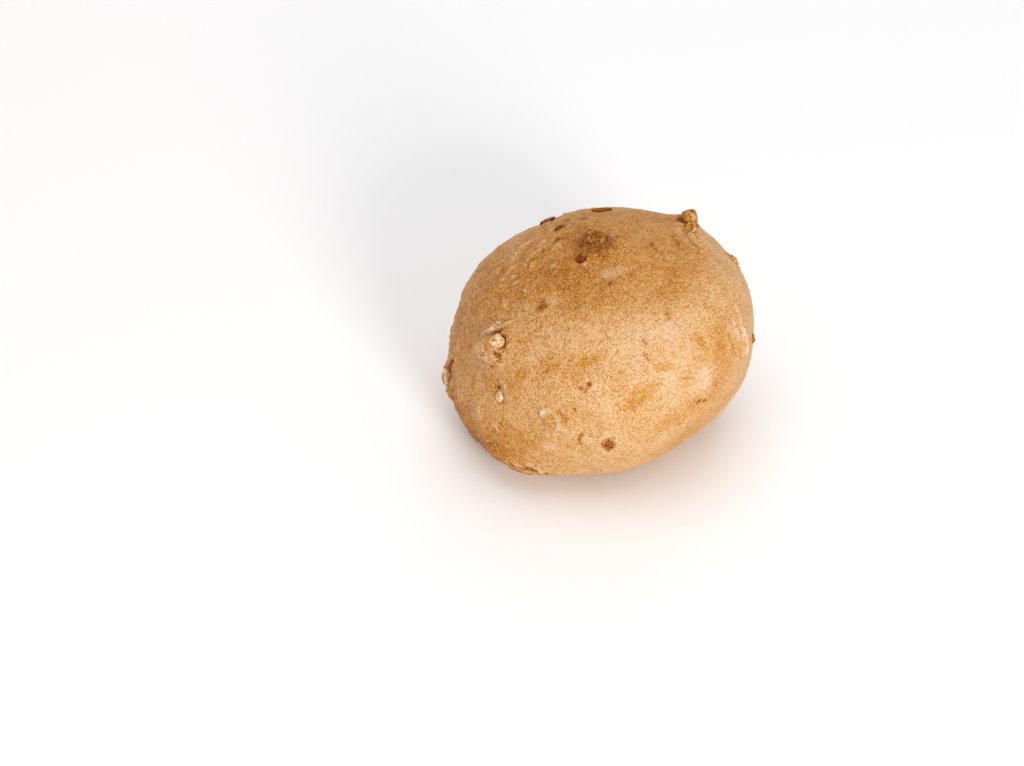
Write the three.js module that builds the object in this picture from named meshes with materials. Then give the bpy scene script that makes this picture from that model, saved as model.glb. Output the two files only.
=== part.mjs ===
// A plump, round wholegrain bread roll: one piece of baked dough, domed above and flat where it lay on the tray.
//
// The frame is in millimetres, with +Z up. The origin is on the table, under the middle of the roll,
// +X is the roll's longer way and -Y its best side.
//
// The dough is shaped as it is by hand: a ball that has spread, stands fuller on one side, has swells and
// flats where it touched its neighbours in the oven, and has gone flat underneath.
import * as THREE from "three";
import { mergeVertices } from "three/addons/utils/BufferGeometryUtils.js";

// Driving dimensions of the round dough, before its own weight presses it onto the tray.
const WIDTH = 90; // along X
const DEPTH = 88; // along Y
const HEIGHT = 65; // above the tray
const WIDEST_AT = 30.5; // height of the widest level above the tray
const DROP = 33; // how far the round underside would hang below that level
const FULLNESS = 2.4; // 2 is an ellipse in profile, and more has fuller shoulders
const LEAN = 0.1; // rise of the widest level for each mm towards +X

// The flat base.
const RIM_ROUNDING = 3.2; // how softly the side turns under into the base
const PRESSED = 1.8; // how much of the rounded underside is pressed flat onto the tray

const DETAIL = 17; // splits of each edge of the icosahedron that the dough starts from

const CRUST = { color: 0xc98f4f, roughness: 0.6, metalness: 0 };

// Broad swells (+) and flats (-) of the dough. Azimuth is counted from the best side, -Y, towards +X, and
// elevation from the widest level, both in degrees. rise is in mm, and spread is the swell's half width.
const SWELLS = [
  { azimuth: 45, elevation: -30, rise: -3.4, spread: 26 },
  { azimuth: -52, elevation: -30, rise: 4.2, spread: 30 },
  { azimuth: -84, elevation: -8, rise: 1.2, spread: 26 },
  { azimuth: 20, elevation: 14, rise: 0.7, spread: 22 },
  { azimuth: 100, elevation: 48, rise: -0.8, spread: 26 },
  { azimuth: 178, elevation: 6, rise: -1.5, spread: 30 },
  { azimuth: -120, elevation: 20, rise: 2, spread: 28 },
  { azimuth: 138, elevation: -20, rise: 0.9, spread: 24 },
];

// Low mounds where a grain kernel under the crust pushes it out, in the same terms.
const KERNEL_MOUNDS = [
  { azimuth: -52, elevation: 34, rise: 1.2, spread: 7 },
  { azimuth: -80, elevation: 1, rise: 1.2, spread: 7 },
  { azimuth: 129, elevation: 46, rise: 1.5, spread: 7 },
  { azimuth: -150, elevation: 85, rise: 0.8, spread: 8 },
  { azimuth: -20, elevation: 8, rise: 0.9, spread: 7 },
  { azimuth: 42, elevation: 11, rise: 0.7, spread: 8 },
];

const directionOf = ({ azimuth, elevation }) => {
  const a = THREE.MathUtils.degToRad(azimuth);
  const e = THREE.MathUtils.degToRad(elevation);
  return new THREE.Vector3(Math.sin(a) * Math.cos(e), -Math.cos(a) * Math.cos(e), Math.sin(e));
};

// How far a list of swells pushes the crust out in one direction.
const riseOf = (swells, direction) =>
  swells.reduce((sum, swell) => {
    const away = direction.angleTo(directionOf(swell));
    return sum + swell.rise * Math.exp(-((away / THREE.MathUtils.degToRad(swell.spread)) ** 2));
  }, 0);

// The round dough, before it is pressed flat: a fuller ellipsoid, higher above its widest level than below.
function roundDough(direction) {
  const { x, y, z } = direction;
  const across = Math.hypot(x, y);
  const reach = (across ** FULLNESS + Math.abs(z) ** FULLNESS) ** (-1 / FULLNESS);
  const halfHeight = z > 0 ? HEIGHT - WIDEST_AT : DROP;
  const point = new THREE.Vector3(
    (WIDTH / 2) * x * reach,
    (DEPTH / 2) * y * reach,
    WIDEST_AT + halfHeight * z * reach,
  );
  point.z += LEAN * point.x * THREE.MathUtils.clamp(point.z / WIDEST_AT, 0, 1);
  return point.addScaledVector(direction, riseOf(SWELLS, direction) + riseOf(KERNEL_MOUNDS, direction));
}

// The tray presses the underside flat, and leaves its rim a little rounded.
function onTray(height) {
  const rounded = (height + Math.hypot(height, RIM_ROUNDING)) / 2;
  return Math.max(0, rounded - PRESSED);
}

function rollGeometry() {
  const ball = new THREE.IcosahedronGeometry(1, DETAIL);
  ball.deleteAttribute("normal");
  ball.deleteAttribute("uv");
  const geometry = mergeVertices(ball, 1e-4);
  const position = geometry.getAttribute("position");
  for (let i = 0; i < position.count; i++) {
    const point = roundDough(new THREE.Vector3().fromBufferAttribute(position, i).normalize());
    position.setXYZ(i, point.x, point.y, onTray(point.z));
  }
  geometry.computeBoundingBox();
  const middle = geometry.boundingBox.getCenter(new THREE.Vector3());
  geometry.translate(-middle.x, -middle.y, -geometry.boundingBox.min.z);
  geometry.computeVertexNormals();
  return geometry;
}

const breadRoll = new THREE.Mesh(rollGeometry(), new THREE.MeshStandardMaterial(CRUST));
breadRoll.name = "bread_roll";

const part = new THREE.Group();
part.name = "wholegrain_bread_roll";
part.add(breadRoll);

export default part;
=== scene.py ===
# %% [markdown]
# # A wholegrain bread roll
# A round roll of malted wholegrain dough, baked as one piece. Its looks come from a thin satin crust:
# golden on the sides, browner on the crown, on the left and at the foot, with whole and cracked kernels
# that the dough's skin has covered, half covered or torn over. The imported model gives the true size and
# outline. Everything here is built over that shape and stays on it.

# %% Load the fixed frame
import math
import random
from collections import namedtuple

import bmesh
import bpy
import numpy as np
from mathutils import Matrix, Vector, noise
from mathutils.bvhtree import BVHTree


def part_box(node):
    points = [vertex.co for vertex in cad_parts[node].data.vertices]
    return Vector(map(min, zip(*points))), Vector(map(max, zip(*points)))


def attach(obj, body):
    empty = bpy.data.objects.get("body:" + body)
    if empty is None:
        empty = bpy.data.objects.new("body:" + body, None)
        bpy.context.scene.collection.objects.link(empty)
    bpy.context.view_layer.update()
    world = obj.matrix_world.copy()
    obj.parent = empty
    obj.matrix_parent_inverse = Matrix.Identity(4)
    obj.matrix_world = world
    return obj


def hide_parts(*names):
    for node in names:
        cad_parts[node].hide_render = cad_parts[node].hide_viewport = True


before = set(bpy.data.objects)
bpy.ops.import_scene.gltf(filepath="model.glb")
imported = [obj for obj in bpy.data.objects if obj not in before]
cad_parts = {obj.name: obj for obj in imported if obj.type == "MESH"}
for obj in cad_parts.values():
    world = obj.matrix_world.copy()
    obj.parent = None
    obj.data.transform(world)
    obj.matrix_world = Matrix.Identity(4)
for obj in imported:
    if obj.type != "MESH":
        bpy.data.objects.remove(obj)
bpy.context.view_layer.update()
BODY = "root"
NODE = "bread_roll"
MM = 0.001
low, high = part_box(NODE)
print("the roll's size in mm:", [round((b - a) / MM, 1) for a, b in zip(low, high)])

# %% [markdown]
# ## Places on the crust
# A roll has no edges to measure from, so a place on it is named as on a globe: a ray leaves the roll's
# heart at an azimuth and an elevation, and meets the crust. Azimuth 0 is the best side, -Y, and counts
# towards +X.

# %% The heart of the roll and the directions from it
HEART_LEVEL = 0.47  # as a part of the roll's height
HEART = Vector(((low[0] + high[0]) / 2, (low[1] + high[1]) / 2, HEART_LEVEL * high[2]))


def towards(azimuth, elevation):
    """The unit vector that leaves the heart at these angles, in degrees."""
    a, e = math.radians(azimuth), math.radians(elevation)
    return Vector((math.sin(a) * math.cos(e), -math.cos(a) * math.cos(e), math.sin(e)))


print("the heart is", round(HEART.z / MM, 1), "mm above the table")

# %% [markdown]
# ## Camera, table and light
# The camera stands in front and above, with a long lens, so that the roll looks down over its own round
# shoulder. The table is plain and pale. The light is that of a bright studio: a soft lamp low in front on
# the right, broad ones above and behind, a faint warm one on the left, as the next roll would reflect,
# and a pale room.

# %% The camera
CAMERA_DISTANCE = 0.7
CAMERA_ELEVATION = 38
LENS = 81.8
SENSOR = 36
AIM_RIGHT = -26.4 * MM  # it aims left of the roll
AIM_UP = -14.6 * MM  # and below it

middle = Vector((HEART.x, HEART.y, (low[2] + high[2]) / 2))
camera_data = bpy.data.cameras.new("camera")
camera_data.lens = LENS
camera_data.sensor_width = SENSOR
camera_data.clip_start = 0.05
camera_data.clip_end = 20
camera = bpy.data.objects.new("camera", camera_data)
bpy.context.collection.objects.link(camera)
turned = Matrix.Rotation(math.radians(90 - CAMERA_ELEVATION), 3, "X")
right, up, back = turned.transposed()
camera.location = middle + back * CAMERA_DISTANCE
aim = middle + right * AIM_RIGHT + up * AIM_UP
swing = (-back).rotation_difference(aim - camera.location)
camera.rotation_euler = (swing.to_matrix() @ turned).to_euler()
bpy.context.scene.camera = camera
print("camera at", [round(c, 3) for c in camera.location])

# %% The table
TABLE_SIZE = 6
table_shape = bmesh.new()
bmesh.ops.create_grid(table_shape, x_segments=1, y_segments=1, size=TABLE_SIZE / 2)
table_mesh = bpy.data.meshes.new("table")
table_shape.to_mesh(table_mesh)
table_shape.free()
table = bpy.data.objects.new("table", table_mesh)
bpy.context.collection.objects.link(table)

table_finish = bpy.data.materials.new("pale_table")
table_finish.use_nodes = True
table_shader = table_finish.node_tree.nodes["Principled BSDF"]
table_shader.inputs["Base Color"].default_value = (0.93, 0.93, 0.93, 1)
table_shader.inputs["Roughness"].default_value = 0.9
table_mesh.materials.append(table_finish)
print("table", TABLE_SIZE, "m wide")

# %% The lights


def softbox(name, azimuth, elevation, distance, size, power, color):
    """A square area lamp that faces the roll from these angles, in degrees. Its size is in metres."""
    data = bpy.data.lights.new(name, "AREA")
    data.size = size
    data.energy = power
    data.color = color
    lamp = bpy.data.objects.new(name, data)
    lamp.location = middle + towards(azimuth, elevation) * distance
    lamp.rotation_euler = towards(azimuth, elevation).to_track_quat("Z", "Y").to_euler()
    bpy.context.collection.objects.link(lamp)
    return lamp


softbox("front_lamp", 25, 19, 1.3, 0.36, 12.0, (1, 0.98, 0.95))
softbox("back_lamp", 175, 35, 1.6, 1.2, 5, (0.95, 0.97, 1))
softbox("top_lamp", 0, 88, 1.8, 1.6, 13, (1, 1, 1))
softbox("warm_lamp", -95, 12, 1.0, 0.5, 1.6, (1, 0.66, 0.36))

ROOM = (0.96, 0.97, 1, 1)
ROOM_STRENGTH = 0.46
world = bpy.data.worlds.new("pale_room")
bpy.context.scene.world = world
world.use_nodes = True
world.node_tree.nodes["Background"].inputs["Color"].default_value = ROOM
world.node_tree.nodes["Background"].inputs["Strength"].default_value = ROOM_STRENGTH
bpy.context.scene.view_settings.view_transform = "Standard"
print("four lamps and a pale room")

# %% [markdown]
# ## The dough's shape
# The CAD node is a few thousand flat triangles, too coarse for a crust seen close. A cube cut into a fine
# grid and blown up to a ball has even four-sided faces and no poles, so its faces can be sculpted
# anywhere. Each of its corners is moved out along its own ray until it meets the CAD roll, and then the
# facets are smoothed away.

# %% A merged copy of the CAD roll to cast rays on
WELD = 0.01 * MM

dough = bmesh.new()
dough.from_mesh(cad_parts[NODE].data)
bmesh.ops.remove_doubles(dough, verts=dough.verts[:], dist=WELD)
dough_tree = BVHTree.FromBMesh(dough)
dough.free()
print("the dough is ready to cast on")

# %% An even ball, cast onto the dough and smoothed
SMOOTH_CUTS = 63
FACET_SMOOTHING = 6
HALF_WAY = 0.5  # how far each smoothing moves a corner towards the middle of its neighbours


def grid_ball(cuts):
    """A bmesh cube cut into a grid and blown up to a ball of radius 1, with even faces all over."""
    ball = bmesh.new()
    bmesh.ops.create_cube(ball, size=2)
    bmesh.ops.subdivide_edges(ball, edges=ball.edges[:], cuts=cuts, use_grid_fill=True)
    for vert in ball.verts:
        vert.co = Vector([math.tan(c * math.pi / 4) for c in vert.co]).normalized()
    return ball


smooth_dough = grid_ball(SMOOTH_CUTS)
for vert in smooth_dough.verts:
    vert.co = dough_tree.ray_cast(HEART, vert.co)[0]
for _ in range(FACET_SMOOTHING):
    bmesh.ops.smooth_vert(
        smooth_dough, verts=smooth_dough.verts[:], factor=HALF_WAY,
        use_axis_x=True, use_axis_y=True, use_axis_z=True,
    )
smooth_tree = BVHTree.FromBMesh(smooth_dough)
print("the smooth dough has", len(smooth_dough.faces), "faces")

# %% [markdown]
# ## Grains in the dough
# Malted wheat kernels, whole and cracked, lie all through the dough. Most are skinned over and only lift
# the crust. Some have torn through it. Each is named here by its place, its turn on the surface and its
# size, so that the crust around it and the kernel itself are made from the same few numbers. Those on the
# best side are placed one by one, and the far side gets its own by seeded chance, kept apart as kneading
# leaves them.

# %% The kernels on the best side
Kernel = namedtuple("Kernel", "azimuth elevation turn length width depth proud tone bare cut")

# Sizes in mm. proud is how far the kernel's middle stands above the skin. tone goes from 0, pale and
# floury, to 1, dark and caramelised. bare is the side, in degrees from the kernel's own length, where the
# dough's skin has torn off it, or None where it stands free. cut is the way that a cracked kernel's broken
# face looks, along it, across it and out of the crust.
FACE_OUT = (0.1, 0.15, 1)
FACE_FRONT = (-0.7, 0.6, 0.4)
KERNELS = [
    Kernel(-51.2, 25.0, 43, 4.6, 4.2, 4.4, 0.6, 0.14, -15, None),  # the pale ball, high on the left
    Kernel(-80, -10, 86, 7.2, 3.8, 3.2, 0.2, 0.1, -70, None),  # in profile at the left edge
    Kernel(-42.7, 4.9, 100, 3.6, 2.9, 1.8, -0.25, 0.12, None, None),  # a pale oval, low on the left
    Kernel(126.0, 42, 20, 5.2, 5.0, 5.2, 1.9, 0.5, None, None),  # the knob behind the crown
    Kernel(118.8, 44.5, 0, 3.2, 3.0, 3.0, 1.1, 0.15, None, FACE_FRONT),  # cracked, in front of the knob
    Kernel(-160, 75.7, 30, 4.2, 3.2, 2.8, 0.4, 0.58, None, None),  # the cluster on the crown
    Kernel(-148, 82.4, 75, 4.8, 2.8, 2.6, 0.6, 0.6, None, None),
    Kernel(178, 84, 20, 3.8, 3.0, 2.6, 0.6, 0.62, None, None),
    Kernel(120, 86.5, -40, 3.4, 2.6, 2.4, -0.3, 0.6, None, None),
    Kernel(-60, 87, 60, 3.4, 2.6, 2.4, -0.3, 0.6, None, None),
    Kernel(-118, 80.5, 0, 2.8, 2.4, 2.2, -0.3, 0.75, None, None),
    Kernel(-57, 78.4, 10, 3.0, 2.6, 2.4, -0.1, 0.9, None, None),  # the small dark one in front of it
    Kernel(-142, 57, 10, 3.4, 2.2, 2.0, 0.1, 0.85, None, None),
    Kernel(3.4, -6.3, 10, 3.6, 4.8, 2.8, -0.25, 0.3, None, FACE_OUT),  # round and cracked, low in front
    Kernel(106, 27, 70, 4.2, 3.0, 2.4, 0.1, 0.45, None, None),  # golden, on the right shoulder
    Kernel(79, 9, 85, 3.4, 2.4, 2.0, 0.0, 0.6, None, None),
]
print(len(KERNELS), "kernels placed by hand")

# %% The kernels on the far side
FAR_KERNELS = 12
APART = 17  # degrees
BEST_SIDE = towards(0, CAMERA_ELEVATION)
FAR_AZIMUTHS = (70, 290)
FAR_ELEVATIONS = (-24, 55)
WELL_ROUND = -0.45  # the cosine of the angle from the best side, which keeps them out of its sight

chance = random.Random(29)
far = []


def far_place(past):
    """A place on the side that faces away from the best one, at an angle whose cosine is under past."""
    while True:
        azimuth = chance.uniform(*FAR_AZIMUTHS)
        elevation = chance.uniform(*FAR_ELEVATIONS)
        if towards(azimuth, elevation).dot(BEST_SIDE) < past:
            return azimuth, elevation


while len(far) < FAR_KERNELS:
    azimuth, elevation = far_place(WELL_ROUND)
    way = towards(azimuth, elevation)
    if far and min(way.angle(towards(k.azimuth, k.elevation)) for k in far) < math.radians(APART):
        continue
    length = chance.uniform(3.2, 6.2)
    width = length * chance.uniform(0.6, 0.85)
    bare = chance.choice([None, 0, 90, 180, 270])
    cut = FACE_OUT if bare is None and chance.random() < 0.5 else None
    proud = chance.uniform(-0.5, 0.2) if bare is None else chance.uniform(0.1, 0.8)
    far.append(
        Kernel(
            azimuth, elevation, chance.uniform(0, 180), length, width, width * 0.9, proud,
            chance.uniform(0.05, 0.9), bare, cut,
        )
    )
KERNELS += far
print(len(KERNELS), "kernels in all")

# %% [markdown]
# ## A mesh that is finer where the work is
# The crust has to stay under 200,000 triangles, which is one corner each half millimetre. A torn skin
# needs more than that. So before the ball is cast onto the dough, its corners are drawn together around
# each kernel and fold, as under a lens: twice as fine there, and a little coarser in the ring around it.

# %% The crust's mesh, drawn together under the lenses
CRUST_CUTS = 127
LENS_PULL = 0.55
AT_THE_MIDDLE = 1e-4  # a corner this near to a lens's middle, in radians, stays where it is
# Each fine area's azimuth, elevation and spread, in degrees.
FINE_AREAS = [
    (-55, 22, 15),
    (-19, 2, 13),
    (-10, 6, 8),
    (-7, -4, 8),
    (42, 8, 11),
    (-32, -27, 13),
    (-43, 7, 7),
    (-42, 49, 8),
    (-5, 19, 8),
]

crust = grid_ball(CRUST_CUTS)
ways = np.array([vert.co for vert in crust.verts])
lenses = FINE_AREAS + [(k.azimuth, k.elevation, 2 * k.length) for k in KERNELS]
for azimuth, elevation, spread in lenses:
    middle_way = np.array(towards(azimuth, elevation))
    level = ways @ middle_way
    angle = np.arccos(np.clip(level, -1, 1))
    inside = np.flatnonzero((angle < math.radians(spread)) & (angle > AT_THE_MIDDLE))
    part = angle[inside] / math.radians(spread)
    drawn_in = angle[inside] * (1 - LENS_PULL * (1 - part**2) ** 2)
    aside = ways[inside] - level[inside, None] * middle_way
    aside /= np.linalg.norm(aside, axis=1)[:, None]
    ways[inside] = np.cos(drawn_in)[:, None] * middle_way + np.sin(drawn_in)[:, None] * aside
for vert, way in zip(crust.verts, ways):
    vert.co = smooth_tree.ray_cast(HEART, Vector(way))[0]
bmesh.ops.recalc_face_normals(crust, faces=crust.faces[:])
crust_mesh = bpy.data.meshes.new("crust")
crust.to_mesh(crust_mesh)
crust.free()
smooth_dough.free()
print("the crust has", len(crust_mesh.polygons), "faces and", len(lenses), "fine areas")

# %% [markdown]
# ## Sculpting in code
# A roll gets its surface in steps: the dough is rounded and its skin stretched, it swells and wrinkles in
# the oven, and the grains in it push their way out. The same steps are taken here on the fine mesh: each
# moves the corners of the mesh along the surface's own normal, by a soft noise or by the shape of one
# feature.

# %% The crust as arrays, in millimetres


def corners(mesh, kind="co"):
    """The corners of a mesh in millimetres, or with kind "normal" the direction that each one faces."""
    flat = np.empty(len(mesh.vertices) * 3)
    mesh.vertices.foreach_get(kind, flat)
    return flat.reshape(-1, 3) / (MM if kind == "co" else 1)


def skin_noise(places, grain, octaves, seed):
    """Soft noise between about -1 and 1, with features `grain` millimetres across."""
    shift = Vector((17.3, -9.1, 5.7)) * seed
    return np.array([noise.fractal(Vector(p) / grain + shift, 1.0, 2.0, octaves) for p in places])


def soft_step(low_edge, high_edge, values):
    """0 below the low edge, 1 above the high edge, and a smooth ramp between."""
    t = np.clip((values - low_edge) / (high_edge - low_edge), 0, 1)
    return t * t * (3 - 2 * t)


skin = corners(crust_mesh)
skin_out = corners(crust_mesh, "normal")
skin_tree = BVHTree.FromPolygons(
    [Vector(p) for p in skin], [tuple(face.vertices) for face in crust_mesh.polygons]
)
LYING = (0.2, 2.2)  # mm above the tray, from lying flat on it to standing free
on_tray = 1 - soft_step(*LYING, skin[:, 2])
print("the crust has", len(skin), "corners, of which", int((on_tray > 0.5).sum()), "lie on the tray")

# %% Swells, dimples, blisters and creases of the skin
SWELL = 0.35  # mm, over stretches 26 mm across
DIMPLE = 0.28  # mm, over stretches 9 mm across
BLISTER = 0.2  # mm, over stretches 3.4 mm across
CREASE = 0.17  # mm, over stretches 1.7 mm across
RIDGES = 0.3  # about the mean of a folded noise, taken off it so that the skin isn't lifted as a whole
CROWN = (0.75, 0.97)  # parts of the roll's height

skin_shift = SWELL * skin_noise(skin, 26, 2, 1)
fine_shift = BLISTER * (np.abs(skin_noise(skin, 3.4, 2, 3)) - RIDGES)
fine_shift += CREASE * (np.abs(skin_noise(skin, 1.7, 1, 4)) - RIDGES)
rise = skin[:, 2] / (high[2] / MM)
facing_left = np.clip(-skin_out[:, 0], 0, 1)
skin_shift += DIMPLE * (1 + 1.4 * facing_left) * skin_noise(skin, 9, 2, 2)
tight = 0.5 + 1.3 * facing_left + 0.6 * soft_step(*CROWN, rise)  # the hotter a part, the more it wrinkles
fine_shift *= tight * (1 - 0.8 * on_tray)
skin_shift = skin_shift * (1 - on_tray) + fine_shift
print("the skin moves", round(float(np.ptp(skin_shift)), 2), "mm in all")

# %% [markdown]
# ## How brown each part is
# Oven heat comes from above, so the crown is browned most and the sides least. The foot is darker, partly
# from the tray and partly as painted shade where the roll meets the table, with a line of painted shade at
# the very rim. The left is darkened as painted shade, as if the next roll kept light off it, and the fine
# hollows of the skin are browned as painted shade. Flour stays pale in patches, and bran under the skin
# shows grey. All of this is painted on the mesh's own corners, and the finish reads it from there. An image
# would need a map of the roll laid flat, and would blur seen close.

# %% Browning, corner by corner
SIDE_BROWN = 0.26  # 0 is pale dough, and 1 is dark caramel
SHOULDER_BROWN = 0.06
CROWN_BROWN = 0.2
# Painted shade: the left is browned as if the next roll kept light off it, more so high up and at the foot.
LEFT_PAINTED_SHADE = 0.22
UPPER_LEFT_PAINTED_SHADE = 0.12
FOOT_BROWN_AND_SHADE = 0.22
LEFT_FOOT_PAINTED_SHADE = 0.12
RIM_PAINTED_SHADE = 0.3
# Painted shade: the fine hollows of the skin are browned and its ridges paled, by this much for each mm of
# depth or height.
HOLLOW_PAINTED_SHADE = 0.5  # for each mm that a ridge stands up
SHOULDER = (0.5, 0.8)  # parts of the roll's height
UPPER = (0.5, 0.9)
TOP = (0.88, 0.98)
FOOT = 5  # mm above the tray
RIM = 1.6

browning = SIDE_BROWN + SHOULDER_BROWN * soft_step(*SHOULDER, rise) + CROWN_BROWN * soft_step(*TOP, rise)
browning += facing_left * (LEFT_PAINTED_SHADE + UPPER_LEFT_PAINTED_SHADE * soft_step(*UPPER, rise))
browning += 0.07 * skin_noise(skin, 20, 2, 11) + 0.1 * skin_noise(skin, 7, 3, 12)
browning += 0.16 * facing_left * skin_noise(skin, 5, 3, 16)
# The foot's band is partly the tray's browning and partly painted shade where the roll meets the table; the
# rim's line is painted shade only.
browning += (FOOT_BROWN_AND_SHADE + LEFT_FOOT_PAINTED_SHADE * facing_left) * np.exp(-((skin[:, 2] / FOOT) ** 2))
browning += RIM_PAINTED_SHADE * np.exp(-((skin[:, 2] / RIM) ** 2))
# Painted shade: browner in the fine hollows, paler on the ridges.
browning -= HOLLOW_PAINTED_SHADE * fine_shift
print("browning runs from", round(float(browning.min()), 2), "to", round(float(browning.max()), 2))

# %% Flour and bran, corner by corner
FLOUR = 0.26
FLOUR_PATCHES = 0.2
BRAN_PATCHES = 0.22
LEFT_BRAN = 0.25
BROWNED_TOP = (0.84, 0.98)  # the flour is burnt off here

flour = FLOUR + FLOUR_PATCHES * soft_step(-0.2, 0.5, skin_noise(skin, 7, 3, 13))
flour *= (1 - 0.8 * soft_step(*BROWNED_TOP, rise)) * (1 - 0.3 * facing_left)
bran = (BRAN_PATCHES + LEFT_BRAN * facing_left) * soft_step(0.2, 0.6, skin_noise(skin, 3.5, 2, 14))
print("flour", round(float(flour.mean()), 2), "and bran", round(float(bran.mean()), 2), "on average")

# %% [markdown]
# ## Seats on the skin
# A torn edge or a kernel has its own directions: along it, across it and out of the crust. A ray from the
# heart finds the place, and the skin there gives the direction out. The corners near it are then measured
# in those directions, and one helper lifts and colours them together, so that a shape and its colour
# always agree.

# %% A place on the skin with its own flat axes
Seat = namedtuple("Seat", "point along across out")


def seat(azimuth, elevation, turn):
    """The place on the skin at these angles, with its axes turned so many degrees from the eastward one."""
    point, out, _, _ = skin_tree.ray_cast(HEART / MM, towards(azimuth, elevation))
    east = Vector((math.cos(math.radians(azimuth)), math.sin(math.radians(azimuth)), 0))
    east = (east - out * out.dot(east)).normalized()
    along = Matrix.Rotation(math.radians(turn), 3, out) @ east
    return Seat(point, along, out.cross(along), out)


def around(place, reach):
    """The corners within reach of a seat, and where they lie along and across it, in mm."""
    away = skin - np.array(place.point)
    near = np.flatnonzero((away**2).sum(axis=1) < reach**2)
    return near, away[near] @ np.array(place.along), away[near] @ np.array(place.across)


def work(near, shape, lift, brown, flour_on, bran_on):
    """Lifts these corners by the shape times lift, in mm, and colours them by the same shape."""
    skin_shift[near] += lift * shape
    browning[near] += brown * shape
    flour[near] += flour_on * shape
    bran[near] += bran_on * shape


print("the top of the crust is", round(seat(0, 90, 0).point.z, 1), "mm high here")

# %% [markdown]
# ## Marks and folds
# Two kinds of feature make all that happened to the skin. A mark is a soft-edged oval: a blister, a dent,
# a small hole or a spot of flour or bran. A fold is a thin line along an arc: a wrinkle, a stretch mark,
# a slit or the lip of torn skin. Noise frays the edges of both. Each is one line of numbers, in mm and
# degrees: its place, its size, its bend, and then how far it lifts the skin, and how much browner, more
# floury and more branny it makes it. Modelling each as a piece of its own would leave seams that a baked
# skin doesn't have.

# %% How a mark and a fold are made
Mark = namedtuple("Mark", "azimuth elevation turn length width lift brown flour bran")
Fold = namedtuple("Fold", "azimuth elevation turn length width bend lift brown flour bran")


def make_mark(mark):
    """An oval mark: a blister or dent, a brown, floury or branny spot, or a small hole."""
    near, a, b = around(seat(*mark[:3]), 1.5 * max(mark.length, mark.width))
    r = np.hypot(a / (mark.length / 2), b / (mark.width / 2)) + 0.3 * skin_noise(skin[near], 1.6, 2, 21)
    work(near, np.exp(-np.clip(r, 0, None) ** 3.2), *mark[5:])


def make_fold(fold):
    """A fold or slit along an arc, which bends by so many mm from its ends to its middle."""
    near, a, b = around(seat(*fold[:3]), 0.8 * fold.length + abs(fold.bend) + 2 * fold.width)
    part = a / (fold.length / 2)
    arc = fold.bend * (1 - part**2)
    slope = 2 * fold.bend * part / (fold.length / 2)
    wander = 0.35 * fold.width * skin_noise(skin[near], 2.2, 2, 22)
    off = (b - arc + wander) / (fold.width / 2) / np.sqrt(1 + slope**2)
    work(near, np.exp(-(off**2)) * (1 - soft_step(0.75, 1.1, np.abs(part))), *fold[6:])


print("a mark has", len(Mark._fields), "numbers and a fold has", len(Fold._fields))

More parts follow.
